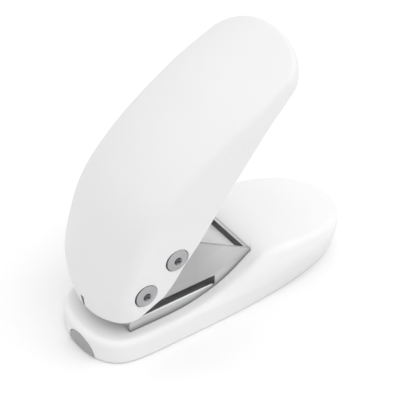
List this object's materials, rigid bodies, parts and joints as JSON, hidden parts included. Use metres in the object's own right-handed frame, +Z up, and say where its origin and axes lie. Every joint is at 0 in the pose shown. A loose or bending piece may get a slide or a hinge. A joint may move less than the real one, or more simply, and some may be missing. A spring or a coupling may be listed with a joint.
{
  "type": "single hole punch",
  "caption": "Hand lever hole punch: a curved plastic lever on a steel frame drives a round punch through paper held in a slot over a plastic base with a chip cover.",
  "frame": {"origin": "middle of the footprint, on the surface the punch stands on", "axes": "+X from the nose, where the paper goes in, to the rear of the base; +Z up; Y across the width, the plane Y = 0 is the plane of symmetry of the outer shape"},
  "size_m": [0.1004, 0.0418, 0.0903],
  "materials": {
    "lever_white": "satin white moulded plastic",
    "base_white": "satin white moulded plastic",
    "cover_grey": "light grey flexible plastic",
    "mark_black": "black ink in a shallow groove",
    "pin_steel": "bright polished plating",
    "frame_steel": "rolled sheet, bright zinc plated",
    "plate_steel": "bright plated sheet",
    "bracket_steel": "zinc plated sheet",
    "screw_steel": "zinc plated",
    "spacer_steel": "turned steel",
    "punch_steel": "ground hardened steel",
    "spring_steel": "drawn spring wire",
    "washer_white": "natural nylon",
    "crosshead_plastic": "dark moulded acetal"
  },
  "bodies": {
    "base": {"base_shell": "base_white", "punch_frame": "frame_steel", "rear_cover_plate": "plate_steel", "guide_bracket": "bracket_steel", "guide_bush": "punch_steel", "bracket_rivets": "frame_steel", "die_bush": "punch_steel", "frame_screws": "screw_steel", "return_spring": "spring_steel"},
    "lever": {"lever_cover": "lever_white", "centre_mark": "mark_black", "lever_bracket": "bracket_steel", "cover_screw": "screw_steel", "pivot_pin": "pin_steel", "pivot_pin_cap": "pin_steel", "pivot_washers": "washer_white", "drive_pin": "pin_steel", "drive_pin_cap": "pin_steel", "drive_pin_spacers": "spacer_steel"},
    "punch": {"punch_pin": "punch_steel", "punch_crosshead": "crosshead_plastic", "punch_lock_pin": "screw_steel", "spring_washer": "bracket_steel"},
    "tray": {"chip_cover": "cover_grey"}
  },
  "joints": [
    {"name": "lever_hinge", "type": "hinge", "parent": "base", "child": "lever", "pos_m": [-0.035, 0, 0.02546], "axis": [0, 1, 0], "range_deg": [0, 30], "stiffness_Nm_per_rad": 0.15, "springref_deg": -20.05},
    {"name": "punch_slide", "type": "slide", "parent": "base", "child": "punch", "axis": [0, 0, -1], "range_m": [0, 0.00662], "deforming": ["return_spring"]},
    {"name": "chip_cover_hinge", "type": "hinge", "parent": "base", "child": "tray", "pos_m": [0.038, 0, 0.0038], "axis": [0, -1, 0], "range_deg": [0, 68]}
  ],
  "couplings": [
    {"joint": "punch_slide", "follows": "lever_hinge", "m_per_rad": 0.012633}
  ]
}
